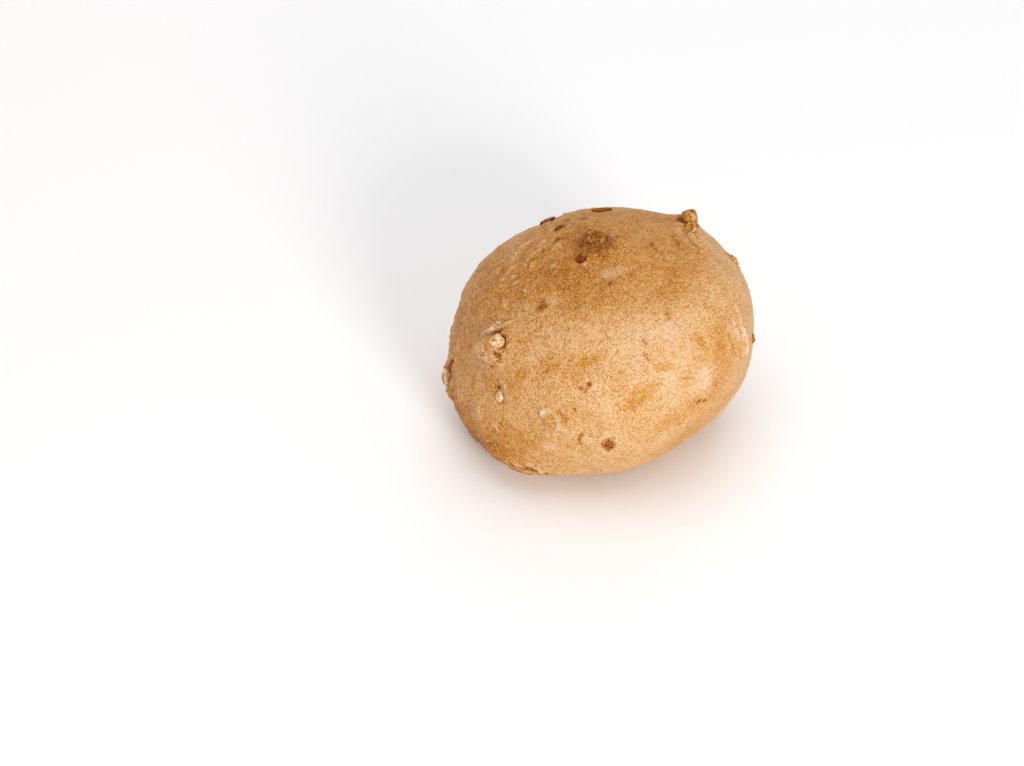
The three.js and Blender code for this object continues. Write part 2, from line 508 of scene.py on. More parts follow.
# %% The marks on the best side
MARKS = [
    # Around the pale ball, high on the left: the rest of its kernel under the skin, a flat lobe and a hole
    # browned as painted shade.
    Mark(-56.6, 20.6, 43, 8.4, 6.4, 2.0, -0.04, 0.1, 0),
    Mark(-50.8, 17.6, 20, 5.4, 4.6, 1.5, -0.04, 0.3, 0.1),
    Mark(-49.1, 20.7, 0, 1.8, 1.4, -1.0, 0.8, -0.8, 0),
    Mark(-58.5, 17.5, 10, 7.0, 5.0, 1.0, -0.06, 0.25, 0.1),
    # The flaky blister, low in front on the left, with its ochre hollow, and a grey painted shade on its
    # left carried in the bran number.
    Mark(-18.9, 2.4, 110, 6.0, 4.6, 0.5, 0.1, -0.5, 0),
    Mark(-22.6, 2.2, 80, 3.4, 1.8, 0, 0.06, 0, 0.25),
    Mark(-22.0, 6.0, 30, 2.4, 1.8, 0.5, -0.1, 0.5, 0),
    Mark(-19, -9.8, 10, 5.2, 3.0, 0.3, -0.15, 0.6, 0),
    # The pale patch on the right, the low lump in it and the two holes below, browned as painted shade.
    Mark(46, 13, 60, 24, 18, 0, 0.11, -0.35, 0),
    Mark(42.4, 14.4, 60, 9.6, 7.6, 0.1, -0.18, 0.85, 0),
    Mark(44.0, 8.6, 70, 5.0, 4.2, 0.45, 0.03, 0.15, 0.2),
    Mark(40.0, 5.4, 20, 1.6, 1.1, -0.5, 0.9, -0.5, 0),
    Mark(42.7, 4.3, 0, 1.4, 1.1, -0.4, 0.8, -0.5, 0),
    # Ochre hollows where the skin sank between its floury patches.
    Mark(15.5, 15, 35, 11, 4.6, -0.4, 0.2, -0.8, 0),
    Mark(27, 24.5, -10, 6.5, 2.6, -0.3, 0.14, -0.8, 0),
    Mark(46.5, 28.2, 90, 5.0, 2.4, -0.35, 0.2, -0.6, 0),
    Mark(56, 24, 70, 8.0, 4.0, -0.2, 0.12, -0.6, 0),
    Mark(-4, 30, 20, 9.0, 4.0, -0.2, 0.12, -0.5, 0),
    Mark(-36, 16, 60, 8.0, 4.4, -0.2, 0.1, -0.5, 0),
    Mark(31, 1, 20, 16, 7, -0.2, 0.08, -0.3, 0),
    # Broad pale patches.
    Mark(22, 36, 0, 32, 28, 0, -0.05, 0.2, 0),
    Mark(-14, 40, 10, 15, 8, 0, -0.06, 0.2, 0),
    Mark(40, 36, 20, 14, 8, 0, -0.04, 0.2, 0),
    Mark(28, 16, 80, 14, 8, 0, -0.04, 0.2, 0),
    Mark(0, 12, 80, 10, 8, 0, -0.05, 0.2, 0),
    Mark(-30, 30, 60, 10, 7, 0, -0.05, 0.25, 0),
    # Painted shade on the crown's left, browned as if the next roll kept light off it.
    Mark(-52, 60, 0, 24, 18, 0, 0.08, -0.1, 0),
    Mark(-77, 47, 60, 28, 20, 0, 0.12, -0.1, 0),
    # The hole above the pale oval low on the left, browned as painted shade.
    Mark(-44.4, 8.0, 0, 1.8, 1.4, -0.9, 0.8, -0.6, 0),
    # Cracked kernels that are only just covered, with small holes and slits browned as painted shade.
    Mark(-5.2, 19.4, 40, 5.6, 4.4, 0.2, 0.05, 0.1, 0.15),
    Mark(-1.9, 20.3, 60, 3.4, 2.2, 0.2, -0.1, 0.4, 0),
    Mark(-4.4, 20.8, 0, 1.6, 1.2, -0.6, 1.0, -0.5, 0),
    Mark(-7.6, 18.7, 0, 1.2, 1.0, -0.5, 0.9, -0.4, 0),
    Mark(-9.9, 9.9, 0, 1.3, 1.0, -0.5, 0.5, -0.4, 0),
    Mark(-12.8, 5.1, 20, 1.8, 1.2, -0.25, 0.25, -0.3, 0.3),
    Mark(-4.6, -3.8, 90, 4.2, 3.0, 0.3, -0.08, 0.3, 0),
    Mark(3.4, -6.1, 0, 5.4, 7.0, 0.0, -0.15, 0.55, 0),
    Mark(-41.8, 47.2, 70, 4.2, 3.0, 0.2, 0.55, -0.6, 0),
    Mark(-38.4, 51.2, 30, 4.6, 3.2, 0.2, -0.08, 0.55, 0.2),
    Mark(34, 54, 10, 4.4, 1.8, 0.2, 0, 0.3, 0.3),
    Mark(14, 40.5, 60, 5.4, 4.0, -0.2, 0.02, 0.0, 0.4),
    Mark(21.4, 71, 2, 9.8, 3.6, -0.1, -0.05, 0.56, 0.3),
    Mark(10.9, 65.1, 0, 1.4, 1.3, -0.5, 0.9, 0, 0),
    Mark(21.5, 35.5, 80, 2.6, 1.3, -0.4, 0.35, -0.3, 0),
    Mark(38.5, 41.6, 85, 3.4, 1.4, -0.5, 0.4, -0.3, 0.1),
    # Small dark flecks on the crown, the sunken ones browned as painted shade, and the dark crust that the
    # cluster stands in, its hollows browned as painted shade.
    Mark(-126, 63.2, 0, 1.9, 1.8, -0.4, 0.8, 0, 0),
    Mark(-127.6, 65.7, 0, 1.3, 1.2, -0.4, 0.7, 0, 0),
    Mark(-154, 52.6, 0, 2.4, 2.0, 0.4, 0.6, 0, 0),
    Mark(-165, 56.2, 10, 3.2, 1.8, 0.4, 0.6, 0, 0),
    Mark(-138, 55, 10, 4.4, 1.4, 0.3, -0.1, 0.5, 0),
    Mark(98, 65.2, 0, 2.6, 1.3, 0.2, 0.6, 0, 0),
    Mark(-36, 77, 0, 2.2, 1.4, 0.2, -0.1, 0.6, 0),
    Mark(-150, 86.5, 0, 12, 12, 0.7, 0.36, -0.8, -0.2),
    Mark(-170, 79, 0, 3.2, 2.4, -0.7, 0.5, -0.6, 0),
    Mark(-174, 86.5, 30, 3.0, 2.2, -0.6, 0.5, -0.6, 0),
    Mark(-120, 84, 30, 2.6, 2.0, -0.6, 0.5, -0.6, 0),
    # Painted shadow beside the knob behind the crown.
    Mark(128.5, 44.2, 20, 3.4, 2.4, -0.4, 0.5, 0, 0),
    Mark(134, 42.5, 40, 8, 5.6, 0.6, 0.02, 0, 0),
    Mark(-166, 43.5, 0, 12, 8, 0.9, 0, 0, 0),
    # The browner skirt, low on the left, and the rim of the base, torn as the roll was lifted off the tray.
    Mark(-60, -24, 10, 50, 17, 0, 0.3, -0.7, -0.2),
    Mark(-33, -26, 0, 24, 10, 0.9, 0, 0, 0),
    Mark(-73, -14, 80, 7, 3, -0.3, 0.3, -0.3, 0),
    Mark(52, -23, 20, 8.0, 2.4, -0.4, 0.2, 0, 0),
    Mark(48, -14, 30, 34, 14, 0, 0.14, -0.5, 0),
]
print(len(MARKS), "marks by hand")

# %% The folds on the best side
FOLDS = [
    # The torn edge of skin beside the pale ball, its pit, and the grooves round the ball and the lobe, the
    # pit and grooves browned as painted shade.
    Fold(-57.5, 27.8, 64, 12.0, 0.7, 0.1, 0.9, -0.1, 0.7, 0),
    Fold(-58.8, 27.4, 80, 6.8, 0.75, 0.2, 1.6, -0.2, 1.1, 0),
    Fold(-55.4, 26.8, 60, 3.6, 1.3, 0.2, -1.5, 1.0, -1.5, 0),
    Fold(-49.0, 25.8, -43, 6.0, 2.0, 1.2, -0.5, 0.16, -0.3, 0),
    Fold(-49.6, 18.0, -113, 6.4, 0.8, 1.4, -0.6, 0.4, -0.3, 0),
    # Beside the kernel at the left edge, its gap browned as painted shade.
    Fold(-76.8, -2.8, -68, 4.6, 2.0, -0.6, -1.9, 1.3, -1.2, 0),
    Fold(-75.0, -8.4, 82, 6.0, 1.0, 0.6, -0.9, 0.6, -0.6, 0),
    Fold(-73.4, -9.0, 80, 6.4, 0.9, 0.9, 0.4, -0.1, 0.4, 0),
    Fold(-76.5, -14.5, 80, 5.0, 1.4, 0.3, 0.8, -0.1, 0.2, 0),
    # The flaky blister's thin raised rims and the valley beside it, browned as painted shade.
    Fold(-20.5, 5.6, 37, 4.2, 1.0, 1.8, 0.9, -0.2, 0.8, 0),
    Fold(-17.2, 4.4, -67, 5.4, 0.8, 0.7, 0.9, -0.15, 0.9, 0),
    Fold(-15.4, -1.5, 29, 4.2, 0.9, 1.8, 0.8, -0.15, 0.8, 0),
    Fold(-15.6, 4.8, -60, 6.2, 1.7, 0.9, -0.7, 0.18, -0.6, 0),
    # Slits over covered kernels, browned as painted shade.
    Fold(-6.7, -3.8, -97, 4.8, 0.6, -1.0, -0.6, 0.6, -0.5, 0),
    Fold(-11.4, 7.4, -122, 4.4, 0.8, 0.5, -0.2, 0.06, 0, 0.1),
    Fold(-5.4, 18.8, -125, 3.8, 0.8, 0, -0.4, 0.4, -0.3, 0),
    Fold(-42.5, 9.4, -23, 4.0, 0.8, 1.0, 0.6, -0.1, 0.7, 0),
    Fold(46.8, 9, 75, 4.6, 1.0, -0.9, -0.25, 0.1, -0.2, 0.1),
    Fold(21.6, 29.6, -66, 3.8, 1.1, -0.6, -0.5, 0.3, -0.5, 0),
    # Wrinkles down the right side, where the skin stretched, their grooves browned as painted shade.
    Fold(70.5, 13.5, -88, 11, 1.7, 0.3, 0.7, -0.15, 0.8, 0),
    Fold(66, 12, -88, 8, 1.3, 0, -0.6, 0.2, -0.5, 0),
    Fold(66.5, 21.5, -95, 7, 1.6, 0, 0.5, -0.12, 0.6, 0),
    Fold(71.3, 22, -116, 11, 1.3, 0.2, 0.5, -0.12, 0.6, 0),
    Fold(62, 18, -84, 10, 1.2, -0.6, -0.4, 0.15, -0.4, 0),
    # Stretch marks over the shoulders, their grooves browned as painted shade.
    Fold(110.3, 48.3, -174, 12, 1.3, -1.4, 0.35, -0.08, 0.5, 0.1),
    Fold(109.4, 44.6, -168, 7, 1.0, -0.1, 0.3, -0.08, 0.5, 0.1),
    Fold(110, 46.3, -171, 10, 1.1, -0.7, -0.35, 0.16, -0.3, 0),
    Fold(108.3, 39.4, -160, 8, 1.1, -0.1, 0.35, -0.08, 0.4, 0.1),
    Fold(103, 54, -170, 8, 1.0, -0.4, -0.3, 0.14, -0.3, 0),
    Fold(-111.6, 49, 158, 13, 1.3, 1.8, 0.45, -0.08, 0.5, 0.2),
    Fold(-108, 52, 152, 10, 1.1, 1.2, -0.3, 0.14, -0.3, 0),
    Fold(-99.6, 56.9, 147, 13, 1.3, 1.3, 0.4, -0.06, 0.45, 0.2),
    Fold(-87.7, 43.7, 136, 9, 1.2, 1.0, 0.45, -0.08, 0.4, 0.2),
    Fold(-93, 40, 140, 8, 1.0, 0.8, -0.3, 0.14, -0.3, 0),
    # The lifted lips over the torn rim of the base, and the cavity under them browned as painted shade.
    Fold(-34.5, -23.8, -16, 8, 0.9, 1.4, 1.0, -0.2, 0.9, 0),
    Fold(-28, -23.4, -24, 8, 0.8, 1.4, 0.9, -0.15, 0.8, 0),
    Fold(-30.5, -26.2, -20, 12, 1.8, 1.2, -1.5, 1.6, -1.2, 0),
    Fold(-35, -28.6, -12, 8, 1.1, 0.8, 0.5, 0.5, 0.0, 0),
]
print(len(FOLDS), "folds by hand")

# %% Marks and folds on the far side
FAR_MARKS = 46
JUST_ROUND = -0.12  # a cosine, as for the kernels there
HOLES, FLOUR_SPOTS, BRAN_SPOTS = 0.3, 0.5, 0.7  # chances, each with the ones before it in it

for _ in range(FAR_MARKS):
    azimuth, elevation = far_place(JUST_ROUND)
    turn = chance.uniform(0, 180)
    length, kind = chance.uniform(1.2, 6.0), chance.random()
    if kind < HOLES:
        # A hole's browning is painted shade in it.
        MARKS.append(Mark(azimuth, elevation, turn, 1.3, 1.0, -0.5, 0.45, -0.3, 0.2))
    elif kind < FLOUR_SPOTS:
        MARKS.append(Mark(azimuth, elevation, turn, length, 0.6 * length, 0.4, -0.1, 0.6, 0.1))
    elif kind < BRAN_SPOTS:
        MARKS.append(Mark(azimuth, elevation, turn, length, 0.7 * length, -0.2, 0.1, -0.3, 0.7))
    else:
        bend, lift = chance.uniform(-0.9, 0.9), chance.choice([-0.6, 0.5])
        # A sunken fold is browned as painted shade; a raised one is paled and dusted with flour.
        FOLDS.append(Fold(azimuth, elevation, turn, 1.2 * length, 1.0, bend, lift, -0.5 * lift, lift, 0.2))
print(len(MARKS), "marks and", len(FOLDS), "folds in all")

# %% Small scales and stretch marks, where the side and the left of the crown dried first
DriedPart = namedtuple("DriedPart", "azimuths elevations scales lift flour")
DRIED_PARTS = [
    DriedPart((-100, -42), (-16, 44), 36, 0.5, 0.35),
    DriedPart((-165, -60), (42, 68), 28, 0.45, 0.3),
]
SCALE_WIDTH = 1.1  # mm

dried = random.Random(7)
for part in DRIED_PARTS:
    for _ in range(part.scales):
        azimuth, elevation = dried.uniform(*part.azimuths), dried.uniform(*part.elevations)
        turn, length, bend = dried.uniform(90, 200), dried.uniform(1.6, 4), dried.uniform(-0.6, 0.6)
        # A scale's flour is partly real dust and partly a painted highlight on its raised edge.
        FOLDS.append(
            Fold(azimuth, elevation, turn, length, SCALE_WIDTH, bend, part.lift, -0.1, part.flour, 0.1)
        )
print(len(MARKS), "marks and", len(FOLDS), "folds with the scales")

# %% Work them into the skin
for mark in MARKS:
    make_mark(mark)
for fold in FOLDS:
    make_fold(fold)
print("the skin now moves", round(float(np.ptp(skin_shift)), 2), "mm in all")

# %% [markdown]
# ## Kernels push through
# A kernel shrinks less than the dough round it, so a thin gap opens, browned as painted shade, with a low
# hill and a lip outside it. Where the dough's skin still holds on one side, it is drawn over the kernel,
# and ends in a pale torn edge. Each seat is sculpted from its own kernel's numbers, so that the two fit
# however a kernel is moved.

# %% Seat the kernels in the crust
GAP = (0.92, 1.25)  # the gap's inner and outer edge, in the kernel's own radius
GAP_DEPTH = 0.9  # mm
FULL_GAP_FROM = 4.5  # mm: a shorter kernel has a shallower gap
HILL = 0.4  # mm
LIP = 0.06  # as a part of the kernel's length
TEAR = (-0.35, 0.15)  # across the line where the skin tore, from covered to bare


def make_seat(kernel):
    """Opens a gap round a kernel and swells the crust outside it. A covered side gets skin over it."""
    near, a, b = around(seat(*kernel[:3]), 2.4 * kernel.length)
    sunk = min(kernel.proud, 0) / (kernel.depth / 2)
    seen = math.sqrt(1 - sunk**2)
    r = np.hypot(a / (kernel.length / 2), b / (kernel.width / 2)) / seen
    r += 0.18 * skin_noise(skin[near], 1.5, 2, 23)
    gap = (1 - soft_step(*GAP, r)) * min(1, kernel.length / FULL_GAP_FROM)
    hill = (HILL + 0.1 * max(kernel.proud, 0)) * np.exp(-((r / 1.9) ** 2))
    lip = LIP * kernel.length * np.exp(-(((r - 1.45) / 0.22) ** 2))
    free = hill + lip - GAP_DEPTH * gap
    torn = 1.0
    if kernel.bare is not None:
        way = math.radians(kernel.bare)
        side = (a * math.cos(way) + b * math.sin(way)) / (np.hypot(a, b) + 0.4)
        side += 0.45 * skin_noise(skin[near], 1.4, 2, 24)
        torn = soft_step(*TEAR, side)
        over = (kernel.proud + kernel.depth / 2 + 0.15) * np.exp(-((r / 1.05) ** 3))
        free = free * torn + over * (1 - torn) + 0.3 * np.exp(-(((torn - 0.5) / 0.25) ** 2)) * (r < 1.3)
        # The torn edge is dusted pale: partly flour, partly a painted highlight.
        flour[near] += 0.9 * np.exp(-(((torn - 0.45) / 0.3) ** 2)) * (1 - soft_step(1.0, 1.4, r))
    skin_shift[near] += free
    # Painted shade: the gap is browned and cleared of flour as the shade in it; the halo browns with the
    # kernel's own tone.
    browning[near] += torn * (0.4 * gap + 0.2 * kernel.tone * (1 - soft_step(0.9, 1.9, r)))
    flour[near] -= torn * gap


for kernel in KERNELS:
    make_seat(kernel)
placed = skin + skin_out * skin_shift[:, None]
placed[:, 2] = np.maximum(placed[:, 2], 0)
crust_mesh.vertices.foreach_set("co", (placed * MM).ravel())
crust_mesh.update()
print("the crust is", round(float(np.ptp(placed[:, 2])), 1), "mm high")

# %% [markdown]
# ## The kernels
# A wheat kernel is an oval with one blunt end, a crease along its belly and a wrinkled skin. A small
# ball, pulled to those sizes and bent by a little noise, has all of it. A cracked one is sliced by a
# plane first: its broken face is inset, so that a rim of husk stays round the dark heart.

# %% One kernel's shape
KERNEL_SPLITS = 4
CRACK = 0.3  # how far from a kernel's middle it broke, as a part of the half width
HUSK = 0.26  # the pale rim round a broken face, in the same terms
HEART_TONE = 0.45  # how much darker the broken face is than the husk
TONE = "tone"


def kernel_shape(shape, kernel, seed):
    """Adds a wheat kernel to a bmesh: an oval with a blunt end, a crease and a wrinkled skin."""
    ball = bmesh.ops.create_icosphere(shape, subdivisions=KERNEL_SPLITS, radius=1)["verts"]
    tone = shape.verts.layers.float[TONE]
    place = seat(*kernel[:3])
    faces = list(dict.fromkeys(face for vert in ball for face in vert.link_faces))
    for face in faces:
        face.smooth = True
    hearts = []
    if kernel.cut:
        edges = list(dict.fromkeys(edge for vert in ball for edge in vert.link_edges))
        way = Vector(kernel.cut).normalized()
        sliced = bmesh.ops.bisect_plane(
            shape, geom=ball + edges + faces, plane_co=way * CRACK, plane_no=way, clear_outer=True
        )
        rim = [part for part in sliced["geom_cut"] if isinstance(part, bmesh.types.BMEdge)]
        cap = bmesh.ops.contextual_create(shape, geom=rim)["faces"]
        cap[0].normal_update()
        if cap[0].normal.dot(way) < 0:
            cap[0].normal_flip()
        bmesh.ops.inset_individual(shape, faces=cap, thickness=HUSK, depth=-0.5 * HUSK)
        hearts = list(cap[0].verts)
        hearts += bmesh.ops.poke(shape, faces=cap)["verts"]
        rim_verts = [vert for edge in rim for vert in edge.verts]
        ball = list(dict.fromkeys(vert for vert in ball + hearts + rim_verts if vert.is_valid))
    half = Vector((kernel.length, kernel.width, kernel.depth)) / 2
    shift = Vector((3.1, 7.7, -2.3)) * (seed + 1)
    for vert in ball:
        x, y, z = vert.co
        streak = noise.noise(Vector((x * 1.6, y * 5, z * 5)) + shift)
        lump = noise.noise(vert.co * 1.6 + shift * 2)
        crease = math.exp(-((y / 0.16) ** 2)) * max(0, z) * (1 - x * x)
        blunt = 1 - 0.14 * x - 0.12 * x * x
        swollen = 1 + 0.08 * streak + 0.22 * lump - 0.18 * crease
        own = Vector((x * half.x, y * half.y * blunt, z * half.z * blunt)) * swollen
        own.z += kernel.proud
        broken = HEART_TONE if vert in hearts else 0
        vert[tone] = kernel.tone + 0.2 * streak + 0.12 * lump + 0.4 * crease + broken
        vert.co = (place.point + place.along * own.x + place.across * own.y + place.out * own.z) * MM
        vert.co.z = max(vert.co.z, 0)


print("each kernel's ball is split", KERNEL_SPLITS, "times")

# %% All the kernels in one mesh
kernels_shape = bmesh.new()
kernels_shape.verts.layers.float.new(TONE)
for seed, kernel in enumerate(KERNELS):
    kernel_shape(kernels_shape, kernel, seed)
bmesh.ops.recalc_face_normals(kernels_shape, faces=kernels_shape.faces[:])
kernels_mesh = bpy.data.meshes.new("kernels")
kernels_shape.to_mesh(kernels_mesh)
kernels_shape.free()
print("the kernels have", len(kernels_mesh.polygons), "faces")

# %% [markdown]
# ## Bran flakes
# Flat scales of bran lie on the dough and curl up as they bake. A grid cut to an oval, bent and given a
# thickness makes one. They stand on the outline of the roll, so their edges have to be real.

# %% The flakes
Flake = namedtuple("Flake", "azimuth elevation turn length width curl tilt height tone")
FLAKES = [
    Flake(-149, 39.5, 20, 5.8, 3.4, -0.3, 0, 0.9, 0.72),  # on the outline, left of the crown
    Flake(179, 47.5, 0, 6.2, 3.4, -0.25, 0, 0.9, 0.76),  # on the outline, over the crown
]
FAR_FLAKES = 8
FAR_ROUND = -0.3  # a cosine, as for the kernels there
for _ in range(FAR_FLAKES):
    FLAKES.append(
        Flake(
            *far_place(FAR_ROUND), chance.uniform(0, 180), chance.uniform(2.5, 5), chance.uniform(1.8, 3),
            chance.uniform(-0.3, 0.4), chance.uniform(2, 10), 0.2, chance.uniform(0.2, 0.9),
        )
    )
print(len(FLAKES), "flakes")

# %% One flake's shape, and all of them in one mesh
FLAKE_CUTS = 16, 10
FLAKE_THICKNESS = 0.8  # mm


def flake_shape(shape, flake, seed):
    """Adds a flake to a bmesh: a grid drawn in to a ragged oval, curled and tilted on the crust."""
    grid = bmesh.ops.create_grid(shape, x_segments=FLAKE_CUTS[0], y_segments=FLAKE_CUTS[1], size=1)["verts"]
    tone = shape.verts.layers.float[TONE]
    place = seat(*flake[:3])
    lean = Matrix.Rotation(math.radians(flake.tilt), 3, "Y")
    shift = Vector((5.3, -2.9, 4.1)) * (seed + 1)
    for vert in grid:
        x, y, _ = vert.co
        edge = noise.noise(Vector((x * 1.7, y * 1.7, 0)) + shift)
        own = Vector((x * math.sqrt(1 - y * y / 2), y * math.sqrt(1 - x * x / 2), 0)) * (1 + 0.22 * edge)
        rough = noise.noise(Vector((x * 4, y * 4, 3)) + shift)
        own = Vector((own.x * flake.length / 2, own.y * flake.width / 2, 0.12 * rough))
        own.z += flake.curl * (own.x / (flake.length / 2)) ** 2 - 0.25 * (own.y / (flake.width / 2)) ** 2
        own = lean @ own
        own.z += flake.height
        vert[tone] = flake.tone + 0.25 * rough + 0.1 * edge
        vert.co = (place.point + place.along * own.x + place.across * own.y + place.out * own.z) * MM
    faces = [face for face in shape.faces if face.verts[0] in grid]
    bmesh.ops.solidify(shape, geom=faces, thickness=FLAKE_THICKNESS * MM)


def by_corners(face):
    """A face's place in a fixed order: by its lowest corner first, then by its highest."""
    places = [vert.index for vert in face.verts]
    return min(places) * FLAKE_CORNERS + max(places)


flakes_shape = bmesh.new()
flakes_shape.verts.layers.float.new(TONE)
for seed, flake in enumerate(FLAKES):
    flake_shape(flakes_shape, flake, seed)
# Thickening adds the rims' faces in an order that changes from run to run, so they are put in a fixed one.
flakes_shape.verts.index_update()
FLAKE_CORNERS = len(flakes_shape.verts)
flakes_shape.faces.sort(key=by_corners)
for face in flakes_shape.faces:
    face.smooth = True
bmesh.ops.recalc_face_normals(flakes_shape, faces=flakes_shape.faces[:])
flakes_mesh = bpy.data.meshes.new("bran_flakes")
flakes_shape.to_mesh(flakes_mesh)
flakes_shape.free()
print(len(FLAKES), "flakes with", len(flakes_mesh.polygons), "faces")

# %% [markdown]
# ## Colour kept on the mesh
# What the oven did follows the shape, so it is kept as numbers on the corners of the mesh, which stay
# with it wherever it goes. The finer the pattern, the more corners it would need, so grain and specks are
# left to the finish.

# %% Keep what was painted on the crust
BASE_BROWN = 0.5


def paint(mesh, name, amounts):
    """Keeps one number for each corner of a mesh, for a finish to read by this name."""
    layer = mesh.attributes.new(name, "FLOAT", "POINT")
    layer.data.foreach_set("value", np.clip(amounts, 0, 1).astype(np.float32))


browning += on_tray * (BASE_BROWN - browning + 0.2 * skin_noise(skin, 5, 3, 15))
paint(crust_mesh, "browning", browning)
paint(crust_mesh, "flour", flour)
paint(crust_mesh, "bran", bran)
print("painted", [layer.name for layer in crust_mesh.attributes if layer.data_type == "FLOAT"])

# %% [markdown]
# ## The crust's finish
# A crust is a thin satin film over a pale porous crumb. Its colour mixes three things: the broad browning
# painted above, a mottle of 1 to 5 mm, and specks finer than that, which are flecks of bran and pores, with
# the pores and pinholes darkened as painted shade.
# The nodes read Object coordinates turned into millimetres, so every noise is at the size that it has on
# the real thing.

# %% Small helpers for building a finish from nodes


class Finish:
    """A material, with short ways to add and join its nodes."""

    def __init__(self, name):
        self.material = bpy.data.materials.new(name)
        self.material.use_nodes = True
        self.nodes = self.material.node_tree.nodes
        self.links = self.material.node_tree.links
        self.shader = self.nodes["Principled BSDF"]
        coordinates = self.nodes.new("ShaderNodeTexCoord")
        self.millimetres = self.node("ShaderNodeMapping", Vector=coordinates.outputs["Object"])
        self.millimetres.inputs["Scale"].default_value = (1 / MM, 1 / MM, 1 / MM)

    def node(self, kind, settings=None, **inputs):
        """Adds a node. An input is a number, a colour or another node's output."""
        made = self.nodes.new(kind)
        for name, value in (settings or {}).items():
            setattr(made, name, value)
        for name, value in inputs.items():
            self.feed(made, name.replace("_", " "), value)
        return made

    def feed(self, made, name, value):
        """Sets an input of a node, or links it. A name that is a number picks the input by its place."""
        socket = made.inputs[int(name)] if name.isdigit() else made.inputs[name]
        if isinstance(value, bpy.types.NodeSocket):
            self.links.new(value, socket)
        else:
            socket.default_value = value

    def noise(self, grain, detail=2.0, roughness=0.5):
        """Noise between 0 and 1, with features `grain` mm across."""
        place = self.node("ShaderNodeMapping", Vector=self.millimetres.outputs["Vector"])
        place.inputs["Scale"].default_value = (1 / grain, 1 / grain, 1 / grain)
        made = self.node("ShaderNodeTexNoise", Vector=place.outputs["Vector"], Scale=1.0)
        made.inputs["Detail"].default_value = detail
        made.inputs["Roughness"].default_value = roughness
        return made.outputs["Fac"]

    def ramp(self, value, from_low, from_high, to_low=0.0, to_high=1.0):
        """Maps a value from one range to another, and stops at both ends."""
        made = self.node("ShaderNodeMapRange", {"interpolation_type": "SMOOTHSTEP"}, Value=value)
        made.inputs["From Min"].default_value = from_low
        made.inputs["From Max"].default_value = from_high
        made.inputs["To Min"].default_value = to_low
        made.inputs["To Max"].default_value = to_high
        return made.outputs["Result"]

    def spread(self, noise_value, to_low, to_high):
        """Maps the middle span of a noise, where nearly all of it lies, to these two numbers."""
        return self.ramp(noise_value, 0.3, 0.7, to_low, to_high)

    def math(self, operation, a, b):
        """One sum, product or other of two values."""
        made = self.node("ShaderNodeMath", {"operation": operation})
        self.feed(made, "0", a)
        self.feed(made, "1", b)
        return made.outputs["Value"]

    def painted(self, name):
        """The number painted on the mesh's corners under this name."""
        return self.node("ShaderNodeAttribute", {"attribute_name": name}).outputs["Fac"]

    def mix(self, amount, a, b):
        """Colour b over colour a."""
        made = self.node("ShaderNodeMix", {"data_type": "RGBA"})
        self.feed(made, "0", amount)
        self.feed(made, "6", a)
        self.feed(made, "7", b)
        return made.outputs[2]

    def colors(self, value, stops):
        """A colour scale: stops are (place, linear red, green, blue)."""
        made = self.node("ShaderNodeValToRGB", Fac=value)
        scale = made.color_ramp.elements
        while len(scale) < len(stops):
            scale.new(0.5)
        for element, (place, *color) in zip(scale, stops):
            element.position = place
            element.color = (*color, 1)
        return made.outputs["Color"]

    def bump(self, height, distance):
        """Fine relief, with its height in millimetres."""
        made = self.node("ShaderNodeBump", Height=height, Distance=distance * MM)
        self.feed(self.shader, "Normal", made.outputs["Normal"])


print("helpers for finishes are ready")

# %% The crust's colours
BAKED = [
    (0.0, 0.73, 0.475, 0.25),
    (0.3, 0.61, 0.325, 0.105),
    (0.55, 0.54, 0.215, 0.012),
    (0.75, 0.40, 0.12, 0.0),
    (1.0, 0.19, 0.038, 0.0),
]
FLOURED = (0.74, 0.495, 0.32, 1)
# Thick flour on torn crests, ridges and lips: partly real flour, partly a painted highlight where those
# crests catch the light.
THICK_FLOUR_AND_HIGHLIGHT = (0.84, 0.61, 0.44, 1)
BRAN = (0.48, 0.265, 0.125, 1)
PALE_GRAIN = (0.80, 0.49, 0.20, 1)
TOASTED_GRAIN = (0.38, 0.15, 0.02, 1)
# The colour of the painted shade in the pores.
PORE_SHADE = (0.28, 0.11, 0.03, 1)
print("the crust bakes through", len(BAKED), "colours, from pale dough to caramel")

# %% Two kinds of fine pattern
DOT_EDGE = (0.6, 1.1)  # how soft a dot's edge is, in its own radius
WOBBLE = 0.5  # mm
GRAINS_IN = (0.24, 0.72)  # from the amount that leaves every grain out to the one that has them all in


def dots(finish, spacing, small, large, kept):
    """Scattered ragged dots, from small to large in radius, with one in each of the cells that are kept."""
    wobble = finish.node("ShaderNodeTexNoise", Vector=finish.millimetres.outputs["Vector"], Scale=2.2)
    pushed = finish.node("ShaderNodeVectorMath", {"operation": "SCALE"}, Vector=wobble.outputs["Color"])
    pushed.inputs["Scale"].default_value = WOBBLE
    place = finish.node("ShaderNodeVectorMath", {"operation": "ADD"})
    finish.feed(place, "0", finish.millimetres.outputs["Vector"])
    finish.feed(place, "1", pushed.outputs["Vector"])
    cells = finish.node("ShaderNodeTexVoronoi", Vector=place.outputs["Vector"], Scale=1 / spacing)
    cell = finish.node("ShaderNodeSeparateColor", Color=cells.outputs["Color"])
    radius = finish.ramp(cell.outputs["Green"], 0, 1, small / spacing, large / spacing)
    spot = finish.ramp(finish.math("DIVIDE", cells.outputs["Distance"], radius), *DOT_EDGE, 1, 0)
    return finish.math("MULTIPLY", spot, finish.math("LESS_THAN", cell.outputs["Red"], kept))


def grainy(finish, amount, *noises):
    """An amount with its soft edge broken up by noise into grains, most of them either in or out."""
    total = amount
    for value, strength in noises:
        total = finish.math("ADD", total, finish.ramp(value, 0.2, 0.8, -strength, strength))
    return finish.ramp(total, *GRAINS_IN)


print("dots and grainy edges are ready")

